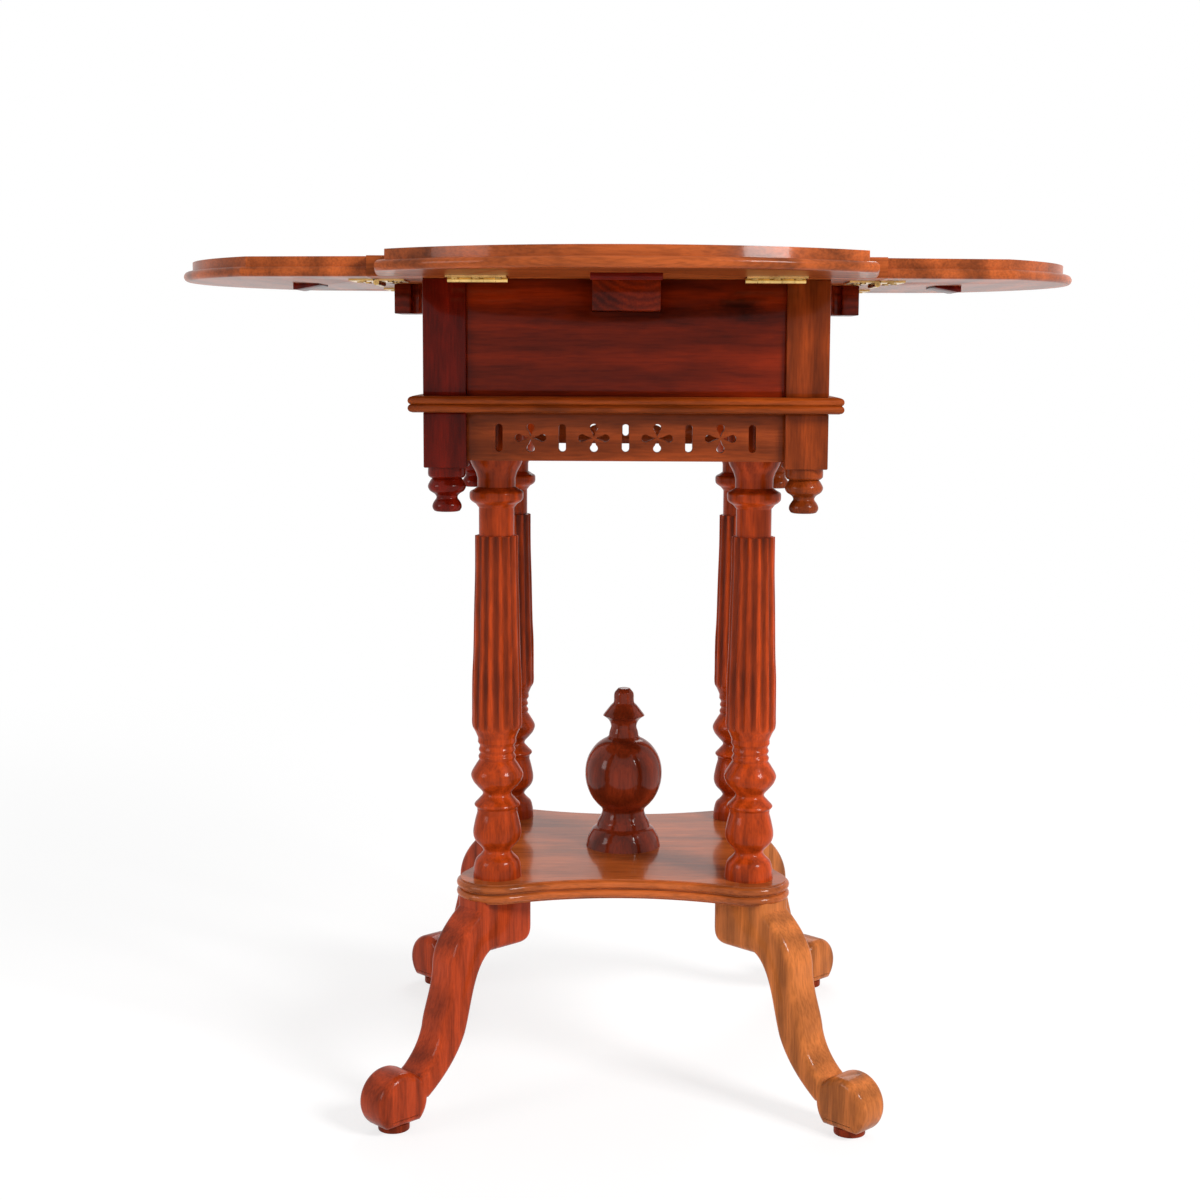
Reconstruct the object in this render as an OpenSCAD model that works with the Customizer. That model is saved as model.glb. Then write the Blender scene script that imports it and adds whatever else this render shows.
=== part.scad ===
// Chess table with four drop leaves on a cluster of four fluted columns.
// Millimetres, +Z up, floor at z = 0, table centre at x = y = 0.

/* [Top] */
// height of the playing surface above the floor
top_h = 762; // [700:1:800]
// thickness of the top and of the leaves
top_t = 17; // [14:0.5:22]
// width of the fixed centre panel
panel_w = 432; // [400:2:460]
// gap between the centre panel and each leaf
leaf_gap = 1; // [0.8:0.1:2]
// width of one chess square with its gap
square_w = 45; // [38:1:50]
// depth of the inlaid squares
inlay_t = 2; // [1:0.5:4]
// gap between neighbouring inlaid squares
inlay_gap = 0.2; // [0.1:0.05:0.5]

/* [Leaves] */
// half width of a leaf at its hinge edge
leaf_hw = 209; // [190:1:214]
// angle at which the leaf sides draw in, in degrees
leaf_taper = 7.125; // [0:0.125:12]
// radius of the curved outer edge
leaf_r = 268; // [220:1:320]
// distance from the table centre to the centre of that curve
leaf_c = 142; // [100:1:180]
// how far the upper tier of the moulded edge sits back
tier_in = 8; // [4:0.5:12]
// height of the lower tier, with its rounded nose
tier_h = 8.5; // [6:0.5:12]
// distance from the table centre to the near face of the leaf wedge
wedge_at = 285; // [284:1:300]
// length of the wedge along the leaf
wedge_len = 24; // [16:1:30]
// thickness of the wedge at its thin end
wedge_lo = 1.5; // [1:0.5:3]
// thickness of the wedge at its thick end
wedge_hi = 5.5; // [4:0.5:8]

/* [Hinges] */
// length of one butt hinge
hinge_l = 50; // [40:1:70]
// distance of each hinge from the middle of its leaf
hinge_at = 123.5; // [90:0.5:150]
// outer radius of the hinge barrel
barrel_r = 2.5; // [2:0.1:4]
// radius of the hinge pin
pin_r = 1.2; // [0.8:0.1:2]
// running clearance of the pin in its knuckles
pin_fit = 0.05; // [0.01:0.01:0.1]
// thickness of the hinge plates
plate_t = 1.5; // [1:0.1:3]
// width of one hinge plate from the axis
plate_w = 24; // [18:1:32]
// number of knuckles in a hinge
knuckles = 5; // [3:2:7]
// clearance between parts that move against each other
run_gap = 0.3; // [0.2:0.05:0.5]

/* [Screws] */
// radius of the screw shank
screw_r = 1.5; // [1:0.1:2]
// radius of the screw head
screw_head_r = 2.8; // [2:0.1:4]
// length of the shank above the plate
screw_l = 7; // [4:0.5:10]
// radial clearance of the screw in plate and pilot hole
screw_fit = 0.1; // [0.05:0.05:0.2]

/* [Lopers] */
// width of a loper bar
loper_w = 57; // [40:1:70]
// height of a loper bar
loper_h = 27; // [20:1:35]
// length of a loper bar
loper_l = 143; // [120:1:143]
// how far out the loper end stands as drawn
loper_out = 215; // [174:1:215]
// radius of the finger groove in each side
grip_r = 4.5; // [3:0.5:6]
// distance from the loper end to the middle of the groove
grip_at = 20; // [12:1:40]
// thickness of the guide cheeks
guide_cheek = 12; // [8:1:20]
// thickness of the guide floor
guide_floor = 8; // [5:1:12]
// inner end of the guide from the table centre
guide_in = 60; // [50:1:90]

/* [Box under the top] */
// half width of the box over the posts
box_hw = 174; // [160:1:186]
// side of a corner post
post_w = 37; // [25:1:50]
// height of the upper panels
upper_h = 99.7; // [80:0.1:120]
// thickness of the upper panels
upper_t = 16; // [10:1:20]
// how far the upper panels sit behind the post faces
upper_in = 4; // [2:0.5:8]
// half width of the waist board
waist_hw = 186; // [176:1:196]
// thickness of the waist board
waist_t = 14; // [10:0.5:20]
// height of the pierced fret boards
fret_h = 41.6; // [36:0.1:50]
// thickness of the fret boards
fret_t = 12; // [8:1:16]
// how far the fret boards sit behind the corner blocks
fret_in = 6; // [2:0.5:10]
// spacing of the fret slots
fret_pitch = 54.6; // [50:0.1:56]
// width of a fret slot
slot_w = 6.2; // [4:0.1:9]
// height of a fret slot
slot_h = 24.1; // [18:0.1:28]
// height of the corner blocks under the waist board
drop_h = 47.8; // [42:0.1:56]

/* [Columns] */
// distance of each column axis from the table centre, along x and y
col_at = 115; // [105:1:120]
// number of flutes round a column
flutes = 14; // [8:1:20]
// radius of the flute cutter
flute_r = 4.4; // [3:0.1:5]
// depth of a flute
flute_d = 2.2; // [0.8:0.1:2.5]

/* [Platform and legs] */
// height of the platform's upper face
plat_z = 207; // [190:1:220]
// thickness of the platform
plat_t = 18; // [14:1:24]
// radius of the platform's round corners
plat_r = 37; // [30:1:42]
// how far each side of the platform curves in
plat_sag = 24; // [10:1:34]
// how much the round corners stand over the concave sides where they meet
corner_lap = 0.15; // [0.1:0.05:0.4]
// depth of the beads on moulded edges
bead = 3.5; // [2:0.5:5]
// thickness of a leg
leg_t = 36; // [28:1:44]
// distance of a foot from the table centre, along the diagonal
foot_at = 285; // [270:1:300]
// radius of the scrolled foot
foot_r = 26.7; // [20:0.1:32]
// radius of the pad under a foot
pad_r = 14; // [8:1:17]
// thickness of that pad
pad_t = 7; // [4:1:8]

/* [Hidden] */

// quarter turns that carry the front piece, which faces -Y, to each side
FRONT = 0;
RIGHT = 90;
BACK = 180;
LEFT = 270;

under_z = top_h - top_t;
panel_hw = panel_w / 2;
leaf_x0 = panel_hw + leaf_gap;
leaf_len = leaf_c + leaf_r - leaf_x0;
axis_x = panel_hw + leaf_gap / 2;
axis_z = under_z - run_gap - barrel_r;
knuckle_l = (hinge_l - (knuckles - 1) * run_gap) / knuckles;
knuckle_pitch = knuckle_l + run_gap;
bore_r = pin_r + pin_fit;
hole_r = screw_r + screw_fit;
loper_top = under_z - run_gap;
loper_bot = loper_top - loper_h;
slot_hw = loper_w / 2 + 0.5;
floor_top = loper_bot - run_gap;
post_c = box_hw - post_w / 2;
post_in = box_hw - post_w;
upper_out = box_hw - upper_in;
waist_top = under_z - upper_h;
waist_bot = waist_top - waist_t;
fret_bot = waist_bot - fret_h;
fret_mid = fret_bot + 19.8;
fret_out = box_hw - fret_in;
drop_bot = waist_bot - drop_h;
plat_bot = plat_z - plat_t;
plat_side = col_at + plat_r - plat_sag;
// radius of the concave sides, so that they run smoothly into the corners
plat_cr = (col_at * col_at + pow(plat_side - col_at, 2) - plat_r * plat_r) / (2 * plat_sag);
diag = sqrt(2);
wood = [0.55, 0.27, 0.11];
dark_wood = [0.33, 0.14, 0.07];
tan_wood = [0.68, 0.42, 0.20];
brass = [0.78, 0.55, 0.22];
$fn = 48;

// a piece drawn at the front, facing -Y, turned to its own side
module side(turn) {
    rotate([0, 0, turn])
        children();
}

// a point of a smooth curve through four keys
function catmull(a, b, c, d, t) =
    0.5 * (2 * b + (c - a) * t + (2 * a - 5 * b + 4 * c - d) * t * t
    + (3 * b - a - 3 * c + d) * t * t * t);

// keys are [z, r]; a third value of 0 keeps the span after that key straight
function smooth_keys(k, n) = [
    for (i = [0 : len(k) - 2])
        let (
            m = (len(k[i]) > 2) ? 1 : n,
            a = (i > 0 && len(k[i - 1]) < 3) ? i - 1 : i,
            d = (i < len(k) - 2 && len(k[i + 1]) < 3) ? i + 2 : i + 1
        )
        for (j = [0 : m - 1])
            [
                (m == 1) ? k[i][1] : catmull(k[a][1], k[i][1], k[i + 1][1], k[d][1], j / m),
                k[i][0] + (k[i + 1][0] - k[i][0]) * j / m
            ],
    [k[len(k) - 1][1], k[len(k) - 1][0]]
];

// a turned piece with the given keys
module turned(keys, n = 3) {
    pts = smooth_keys(keys, n);
    rotate_extrude()
        polygon(concat([[0, keys[0][0]]], pts, [[0, keys[len(keys) - 1][0]]]));
}

// cubic curve between p0 and p3
function bezier(p0, p1, p2, p3, n) = [
    for (i = [0 : n - 1])
        let (t = i / n, u = 1 - t)
        u * u * u * p0 + 3 * u * u * t * p1 + 3 * u * t * t * p2 + t * t * t * p3
];

// section of the leaf's moulded edge; the nose is at x = 0 and the wood runs back to -w
module edge_section(w) {
    nose_r = tier_h / 2;
    translate([-w, 0])
        square([w - tier_in, top_t]);
    translate([-w, 0])
        square([w - nose_r, tier_h]);
    translate([-nose_r, nose_r])
        circle(r = nose_r);
}

// one side slab of a leaf, from the same section as the round edge
module leaf_side() {
    translate([leaf_x0, leaf_hw, 0])
        rotate([0, 0, -leaf_taper])
            translate([-60, 0, 0])
                rotate([90, 0, 90])
                    linear_extrude(height = 360)
                        edge_section(460);
}

// a leaf drawn along +X, with its underside at z = 0
module leaf_blank() {
    intersection() {
        translate([leaf_c, 0, 0])
            rotate_extrude($fn = 160)
                translate([leaf_r, 0])
                    edge_section(leaf_r);
        leaf_side();
        mirror([0, 1, 0])
            leaf_side();
        translate([leaf_x0, -300, -1])
            cube([300, 600, top_t + 2]);
    }
}

// screw places on one hinge plate, from the hinge axis and the hinge middle
function screw_spots() = [
    for (k = [-1 : 1])
        [(k == 0) ? plate_w - 7 : plate_w - 12, k * (hinge_l / 2 - 7)]
];

// repeats children at every screw of the plates on one side of the axis
module at_screws(dir) {
    for (h = [-1, 1])
        for (s = screw_spots())
            translate([axis_x + dir * s[0], h * hinge_at + s[1], 0])
                children();
}

module leaf(turn) {
    color([0.60, 0.32, 0.15])
        side(turn - 90)
            difference() {
                translate([0, 0, under_z])
                    leaf_blank();
                at_screws(1)
                    translate([0, 0, under_z - 1])
                        cylinder(r = hole_r, h = screw_l + 1 - plate_t + 0.5, $fn = 20);
            }
}

module leaf_wedge(turn) {
    color(dark_wood)
        side(turn - 90)
            translate([wedge_at, loper_w / 2, under_z])
                rotate([90, 0, 0])
                    linear_extrude(height = loper_w)
                        polygon([[0, 0], [wedge_len, 0], [wedge_len, -wedge_hi], [wedge_len - 3, -wedge_hi],
                            [0, -wedge_lo]]);
}

module centre_panel() {
    board = 4 * square_w + inlay_gap / 2;
    color([0.62, 0.34, 0.16])
        difference() {
            translate([-panel_hw, -panel_hw, under_z])
                cube([panel_w, panel_w, top_t]);
            translate([-board, -board, top_h - inlay_t])
                cube([2 * board, 2 * board, inlay_t + 1]);
            for (t = [FRONT, RIGHT, BACK, LEFT])
                side(t)
                    at_screws(-1)
                        translate([0, 0, under_z - 1])
                            cylinder(r = hole_r, h = screw_l + 1 - plate_t + 0.5, $fn = 20);
        }
}

// every square of the board whose row and column add up to odd or even
module squares(odd) {
    for (i = [0 : 7])
        for (j = [0 : 7])
            if ((i + j) % 2 == odd)
                translate([(i - 4) * square_w + inlay_gap / 2, (j - 4) * square_w + inlay_gap / 2,
                    top_h - inlay_t])
                    cube([square_w - inlay_gap, square_w - inlay_gap, inlay_t]);
}

module light_squares() {
    color([0.86, 0.68, 0.42])
        squares(1);
}

module dark_squares() {
    color([0.27, 0.12, 0.06])
        squares(0);
}

module loper(turn) {
    color(wood)
        side(turn - 90)
            difference() {
                translate([loper_out - loper_l, -loper_w / 2, loper_bot])
                    cube([loper_l, loper_w, loper_h]);
                for (s = [-1, 1])
                    translate([loper_out - grip_at, s * loper_w / 2, loper_bot - 1])
                        cylinder(r = grip_r, h = loper_h + 2, $fn = 32);
            }
}

module loper_guide(turn) {
    color(tan_wood)
        side(turn - 90)
            translate([guide_in, 0, 0])
                rotate([90, 0, 90])
                    linear_extrude(height = upper_out - upper_t - guide_in)
                        difference() {
                            translate([-slot_hw - guide_cheek, floor_top - guide_floor])
                                square([2 * (slot_hw + guide_cheek), under_z - floor_top + guide_floor]);
                            translate([-slot_hw, floor_top])
                                square([2 * slot_hw, loper_h + 2]);
                        }
}

module upper_panel(turn) {
    color(wood)
        side(turn - 90)
            difference() {
                translate([upper_out - upper_t, -post_in, waist_top])
                    cube([upper_t, 2 * post_in, upper_h]);
                translate([upper_out - upper_t - 1, -slot_hw, floor_top])
                    cube([upper_t + 2, 2 * slot_hw, under_z - floor_top + 1]);
            }
}

module corner_post(sx, sy) {
    color(dark_wood)
        translate([sx * post_c - post_w / 2, sy * post_c - post_w / 2, waist_top])
            cube([post_w, post_w, upper_h]);
}

// section of a board edge with two beads and a groove between them, at both ends
module beaded_section(hw, t) {
    translate([-hw + bead, 0])
        square([2 * (hw - bead), t]);
    for (s = [-1, 1])
        for (z = [0.27, 0.73])
            translate([s * (hw - bead), z * t])
                circle(r = bead, $fn = 32);
}

module waist_board() {
    color([0.50, 0.22, 0.09])
        intersection() {
            translate([0, waist_hw + 5, waist_bot])
                rotate([90, 0, 0])
                    linear_extrude(height = 2 * waist_hw + 10)
                        beaded_section(waist_hw, waist_t);
            translate([-waist_hw - 5, 0, waist_bot])
                rotate([90, 0, 90])
                    linear_extrude(height = 2 * waist_hw + 10)
                        beaded_section(waist_hw, waist_t);
        }
}

// turned pendant under a corner block; z counts up from its lowest point
module pendant() {
    turned([[0, 9.6, 0], [0.7, 11.3], [3.2, 12.7], [6, 12.6], [8.7, 11.3], [12, 9.2], [15, 10.5], [18, 14.8],
        [22, 16.6], [26.3, 14.8], [29, 12.9, 0], [29.6, 14.6], [31.6, 16.3], [39, 16.3]], 3);
}

module corner_drop(sx, sy) {
    color(dark_wood)
        translate([sx * post_c, sy * post_c, 0]) {
            translate([-post_w / 2, -post_w / 2, drop_bot])
                cube([post_w, post_w, drop_h]);
            translate([0, 0, drop_bot - 38.8])
                pendant();
        }
}

// one petal with its point at the origin and its round end up to len along +X
module petal(len, r) {
    d = len - r;
    translate([d, 0])
        circle(r = r, $fn = 24);
    polygon([[0, 0], [d, 0.93 * r], [d, -0.93 * r]]);
}

module quatrefoil() {
    for (q = [0 : 3])
        rotate([0, 0, 90 * q])
            translate([1.3, 0])
                petal((q % 2 == 0) ? 12.2 : 11, 3.4);
}

module fret_slot() {
    half = (slot_h - slot_w) / 2;
    square([slot_w, 2 * half], center = true);
    for (s = [-1, 1])
        translate([0, s * half])
            circle(r = slot_w / 2, $fn = 24);
}

module fret_board(turn) {
    color(tan_wood)
        side(turn - 90)
            translate([fret_out - fret_t, 0, 0])
                rotate([90, 0, 90])
                    linear_extrude(height = fret_t)
                        difference() {
                            translate([-post_in, fret_bot])
                                square([2 * post_in, fret_h]);
                            for (i = [-2 : 2])
                                translate([i * fret_pitch, fret_mid])
                                    fret_slot();
                            for (i = [-2 : 1])
                                translate([(i + 0.5) * fret_pitch, fret_mid])
                                    quatrefoil();
                        }
}

// keys of the column from the platform up, as height above the platform and radius
foot_keys = [[0, 22, 0], [9, 21.5], [16, 19.4], [20.5, 15], [24, 12.8], [27.4, 14.4], [34, 20.1], [41, 22],
    [51, 20.5], [60.4, 18.1, 0], [64, 18.3], [67.3, 20.7], [71.8, 17], [77.5, 12.9], [84.5, 18.3],
    [89.2, 21.9], [95.7, 23.6], [105, 18.7, 0]];
ring_keys = [[108.7, 16.1], [112, 16.9], [115, 15.4], [118, 16.6], [121.5, 15.6], [125, 17.4, 0],
    [129, 17.2], [134.6, 19.6]];
shaft_keys = [[140, 22.3], [151, 22.5], [184, 22.3], [206, 21.3], [250, 20.3], [282, 19.4],
    [313, 19.3, 0]];
neck_keys = [[313.5, 15.8, 0], [338, 15.8], [341.5, 18.6, 0], [343.5, 21.8], [345.5, 23.6], [349, 24.1],
    [352.5, 23.4], [354.5, 20, 0], [356.7, 16.9, 0], [364.4, 16.9], [370, 18.6], [377, 22.2], [383, 23.7]];

module column(sx, sy) {
    keys = concat(foot_keys, ring_keys, shaft_keys, neck_keys, [[waist_bot - plat_z, 23.7]]);
    lean = atan((22.3 - 19.3) / (313 - 184));
    color([0.46, 0.20, 0.09])
        translate([sx * col_at, sy * col_at, plat_z])
            difference() {
                turned(keys, 2);
                for (i = [0 : flutes - 1])
                    rotate([0, 0, (i + 0.5) * 360 / flutes])
                        translate([22.3 + flute_r - flute_d, 0, 184])
                            rotate([0, -lean, 0])
                                translate([0, 0, -58])
                                    cylinder(r = flute_r, h = 192, $fn = 24);
            }
}

// direction from a corner centre to the point where a concave side begins
function side_dir() = [-col_at, plat_side + plat_cr - col_at] / (plat_cr + plat_r);

// section of the platform rim, from the axis out to radius r
module rim_section(r) {
    square([r - bead, plat_t]);
    for (z = [0.27, 0.73])
        translate([r - bead, z * plat_t])
            circle(r = bead, $fn = 32);
}

// cutter with the negative of the beaded rim
module side_cutter() {
    rotate_extrude($fn = 160)
        difference() {
            translate([0, -1])
                square([plat_cr + bead, plat_t + 2]);
            for (z = [0.27, 0.73])
                translate([plat_cr + bead, z * plat_t])
                    circle(r = bead, $fn = 32);
        }
}

module platform() {
    d = side_dir() * plat_r;
    c = [col_at, col_at];
    corner = [c + d, c, c + [d[1], d[0]]];
    outline = [
        for (q = [0 : 3])
            for (p = corner)
                [p[0] * cos(-90 * q) - p[1] * sin(-90 * q), p[0] * sin(-90 * q) + p[1] * cos(-90 * q)]
    ];
    color([0.66, 0.34, 0.13])
        translate([0, 0, plat_bot]) {
            difference() {
                linear_extrude(height = plat_t)
                    polygon(outline);
                for (q = [0 : 3])
                    rotate([0, 0, 90 * q])
                        translate([0, plat_side + plat_cr, 0])
                            side_cutter();
            }
            for (q = [0 : 3])
                rotate([0, 0, 90 * q])
                    translate([col_at, col_at, 0])
                        rotate_extrude()
                            rim_section(plat_r + corner_lap);
        }
}

module finial() {
    color([0.28, 0.12, 0.07])
        translate([0, 0, plat_z])
            turned([[0, 36.1, 0], [8.5, 34.2], [17, 29.5], [19.5, 25.7, 0], [24.4, 24.7], [30.5, 21.4],
                [35.4, 20.5], [42.8, 26], [47.6, 30.4], [55, 34.2], [72, 37.1], [91.4, 33], [98.6, 28.3],
                [105.9, 16.8, 0], [108, 14.4], [112, 13.8], [118, 12.3], [124.2, 14.9], [128.3, 20, 0],
                [130.6, 18.4], [138, 12.6], [141, 9.9], [150, 9.2], [154.6, 5.7, 0], [155.4, 2]], 3);
}

// outline of a leg as [distance along the diagonal, height]
module leg_outline() {
    outer = concat(
        bezier([197, 183], [216, 168], [229, 152], [229, 133], 10),
        bezier([229, 133], [230, 112], [240, 96], [242, 80], 8),
        bezier([242, 80], [246, 66], [253, 57], [262, 49], 6));
    inner = concat(
        bezier([278, 12], [252, 26], [226, 46], [214, 74], 10),
        bezier([214, 74], [206, 96], [203, 132], [184, 143], 10));
    polygon(concat([[197, plat_bot]], outer, [[278, 38]], inner,
        [[146, 143], [139, 145], [135, 150], [134, 156], [134, plat_bot]]));
}

module leg(turn) {
    color([0.62, 0.30, 0.12])
        rotate([0, 0, turn])
            difference() {
                rotate([90, 0, 0]) {
                    linear_extrude(height = leg_t, center = true)
                        leg_outline();
                    translate([foot_at, 27, -leg_t / 2])
                        cylinder(r = foot_r, h = leg_t, $fn = 72);
                }
                translate([foot_at - 60, -leg_t, -20])
                    cube([120, 2 * leg_t, 20 + pad_t]);
            }
}

module foot_pads() {
    color([0.12, 0.08, 0.06])
        for (t = [45, 135, 225, 315])
            rotate([0, 0, t])
                translate([foot_at, 0, 0])
                    cylinder(r = pad_r, h = pad_t);
}

// plates and knuckles of the two hinges on one leaf; dir -1 is fixed, 1 moves
module plates(dir, first) {
    for (h = [-1, 1])
        translate([axis_x, h * hinge_at, axis_z])
            difference() {
                union() {
                    translate([(dir > 0) ? barrel_r + run_gap : -plate_w, -hinge_l / 2,
                        run_gap + barrel_r - plate_t])
                        cube([plate_w - barrel_r - run_gap, hinge_l, plate_t]);
                    for (k = [first : 2 : knuckles - 1])
                        translate([0, -hinge_l / 2 + k * knuckle_pitch, 0]) {
                            rotate([-90, 0, 0])
                                cylinder(r = barrel_r, h = knuckle_l, $fn = 32);
                            translate([(dir > 0) ? 0 : -barrel_r - run_gap - 1, 0,
                                barrel_r + run_gap - plate_t])
                                cube([barrel_r + run_gap + 1, knuckle_l, plate_t - run_gap]);
                        }
                }
                translate([0, -hinge_l / 2 - 1, 0])
                    rotate([-90, 0, 0])
                        cylinder(r = bore_r, h = hinge_l + 2, $fn = 32);
            }
}

module drilled_plates(dir, first) {
    difference() {
        plates(dir, first);
        at_screws(dir)
            translate([0, 0, under_z - plate_t - 1])
                cylinder(r = hole_r, h = plate_t + 2, $fn = 20);
    }
}

module screws(dir) {
    at_screws(dir)
        difference() {
            union() {
                translate([0, 0, under_z - plate_t - 1])
                    cylinder(r = screw_head_r, h = 1, $fn = 24);
                translate([0, 0, under_z - plate_t])
                    cylinder(r = screw_r, h = screw_l, $fn = 20);
            }
            translate([-screw_head_r - 1, -0.35, under_z - plate_t - 1.5])
                cube([2 * screw_head_r + 2, 0.7, 1]);
        }
}

module hinge_plates_fixed() {
    color(brass)
        for (t = [FRONT, RIGHT, BACK, LEFT])
            side(t)
                drilled_plates(-1, 0);
}

module hinge_plates(turn) {
    color(brass)
        side(turn - 90)
            drilled_plates(1, 1);
}

module hinge_pins() {
    color([0.70, 0.50, 0.22])
        for (t = [FRONT, RIGHT, BACK, LEFT])
            side(t)
                for (h = [-1, 1])
                    translate([axis_x, h * hinge_at - hinge_l / 2, axis_z])
                        rotate([-90, 0, 0])
                            cylinder(r = pin_r, h = hinge_l, $fn = 32);
}

module hinge_screws_fixed() {
    color([0.70, 0.50, 0.22])
        for (t = [FRONT, RIGHT, BACK, LEFT])
            side(t)
                screws(-1);
}

module hinge_screws(turn) {
    color([0.70, 0.50, 0.22])
        side(turn - 90)
            screws(1);
}

centre_panel();
light_squares();
dark_squares();
leaf(FRONT);  // leaf_front
leaf(RIGHT);  // leaf_right
leaf(BACK);  // leaf_back
leaf(LEFT);  // leaf_left
leaf_wedge(FRONT);  // leaf_wedge_front
leaf_wedge(RIGHT);  // leaf_wedge_right
leaf_wedge(BACK);  // leaf_wedge_back
leaf_wedge(LEFT);  // leaf_wedge_left
loper(FRONT);  // loper_front
loper(RIGHT);  // loper_right
loper(BACK);  // loper_back
loper(LEFT);  // loper_left
loper_guide(FRONT);  // loper_guide_front
loper_guide(RIGHT);  // loper_guide_right
loper_guide(BACK);  // loper_guide_back
loper_guide(LEFT);  // loper_guide_left
upper_panel(FRONT);  // upper_panel_front
upper_panel(RIGHT);  // upper_panel_right
upper_panel(BACK);  // upper_panel_back
upper_panel(LEFT);  // upper_panel_left
corner_post(-1, -1);  // corner_post_fl
corner_post(1, -1);  // corner_post_fr
corner_post(1, 1);  // corner_post_br
corner_post(-1, 1);  // corner_post_bl
waist_board();
corner_drop(-1, -1);  // corner_drop_fl
corner_drop(1, -1);  // corner_drop_fr
corner_drop(1, 1);  // corner_drop_br
corner_drop(-1, 1);  // corner_drop_bl
fret_board(FRONT);  // fret_board_front
fret_board(RIGHT);  // fret_board_right
fret_board(BACK);  // fret_board_back
fret_board(LEFT);  // fret_board_left
column(-1, -1);  // column_fl
column(1, -1);  // column_fr
column(1, 1);  // column_br
column(-1, 1);  // column_bl
platform();
finial();
leg(225);  // leg_fl
leg(315);  // leg_fr
leg(45);  // leg_br
leg(135);  // leg_bl
foot_pads();
hinge_plates_fixed();
hinge_pins();
hinge_plates(FRONT);  // hinge_plates_front
hinge_plates(RIGHT);  // hinge_plates_right
hinge_plates(BACK);  // hinge_plates_back
hinge_plates(LEFT);  // hinge_plates_left
hinge_screws_fixed();
hinge_screws(FRONT);  // hinge_screws_front
hinge_screws(RIGHT);  // hinge_screws_right
hinge_screws(BACK);  // hinge_screws_back
hinge_screws(LEFT);  // hinge_screws_left
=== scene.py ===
"""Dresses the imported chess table: rounded wood in lacquered teak, brass hinges, a pale stage and the camera."""
import math
import bmesh
import bpy
from mathutils import Matrix, Vector


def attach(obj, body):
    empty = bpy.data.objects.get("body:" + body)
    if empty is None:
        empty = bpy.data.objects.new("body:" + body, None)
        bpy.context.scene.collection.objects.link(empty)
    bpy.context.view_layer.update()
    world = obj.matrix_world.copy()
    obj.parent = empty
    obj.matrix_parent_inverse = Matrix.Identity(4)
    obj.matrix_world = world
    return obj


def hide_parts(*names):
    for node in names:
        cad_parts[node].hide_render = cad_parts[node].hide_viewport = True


bl_info = {
    "name": "Chess table",
    "version": (1, 0, 0),
    "blender": (4, 5, 0),
    "location": "View3D > Sidebar > Chess table",
    "description": "Builds and finishes a chess table with four drop leaves around its CAD frame",
    "category": "Add Mesh",
}

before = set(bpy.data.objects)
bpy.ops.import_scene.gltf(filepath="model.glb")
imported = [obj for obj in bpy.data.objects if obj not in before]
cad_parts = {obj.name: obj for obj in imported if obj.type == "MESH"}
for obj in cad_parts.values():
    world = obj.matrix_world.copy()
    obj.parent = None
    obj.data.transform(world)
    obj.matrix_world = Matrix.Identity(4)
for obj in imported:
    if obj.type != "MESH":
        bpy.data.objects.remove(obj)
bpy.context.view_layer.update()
SIDES = ("front", "right", "back", "left")
CORNERS = ("fl", "fr", "br", "bl")
SIDE_AXIS = {"front": "X", "back": "X", "left": "Y", "right": "Y"}
CORNER_AT = {"fl": (-1, -1), "fr": (1, -1), "br": (1, 1), "bl": (-1, 1)}

# lacquer and edge rounding of the top, which is rubbed duller than the rest
TOP_COAT = 0.08
TOP_ROUGH = 0.36
TOP_ROUND = 0.0008
# places in metres, as in the frame: heights above the floor and distances from the table's middle along x and y
PLATFORM_TOP = 0.207
COLUMN_AT = 0.115
DROP_AT = 0.1555
DROP_FOOT = 0.5447
DROP_BLOCK_MIDDLE = 0.6074
DROP_BLOCK = (0.037, 0.037, 0.0478)
LEG_HALF = 0.018

# the stage: each lamp's name, place, watts and side; the share of the white floor that hides its shadow near and far
LAMPS = [("key", (2.1, -1.8, 2.1), 100.0, 0.9), ("fill", (-2.6, -1.5, 1.4), 28.0, 1.2),
    ("rim", (0.4, 2.6, 2.4), 36.0, 1.6)]
LAMPS_AIM = (0, 0, 0.42)
SOFT_LIGHT = 0.42
SHADOW_REACH = (0.5, 2.2)
SHADOW_HIDDEN = (0.72, 1.0)
FLOOR_DROP = 0.0004
# the camera fit: its place, how far it looks down, its turn to the left and its roll in radians, and its lens in mm
CAMERA_AT = (0, -1.839, 0.6846)
CAMERA_DOWN = 0.1284
CAMERA_TURN = 0.0128
CAMERA_ROLL = 0.0045
CAMERA_LENS = 58.0


class ChessTableSizes(bpy.types.PropertyGroup):
    """Sizes that the pieces are finished with"""
    edge_round: bpy.props.FloatProperty(name="Edge rounding", description="Rounding of the sawn wooden edges",
        default=0.0012, min=0.0002, max=0.004, unit="LENGTH")
    leg_round: bpy.props.FloatProperty(name="Leg rounding", description="Rounding along the edges of the legs",
        default=0.007, min=0.001, max=0.0075, unit="LENGTH")
    fret_round: bpy.props.FloatProperty(name="Fret rounding", description="Rounding of the pierced openings",
        default=0.0006, min=0.0002, max=0.001, unit="LENGTH")
    stage_size: bpy.props.FloatProperty(name="Stage size", description="Side of the pale floor",
        default=60.0, min=10.0, max=100.0, unit="LENGTH")


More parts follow.
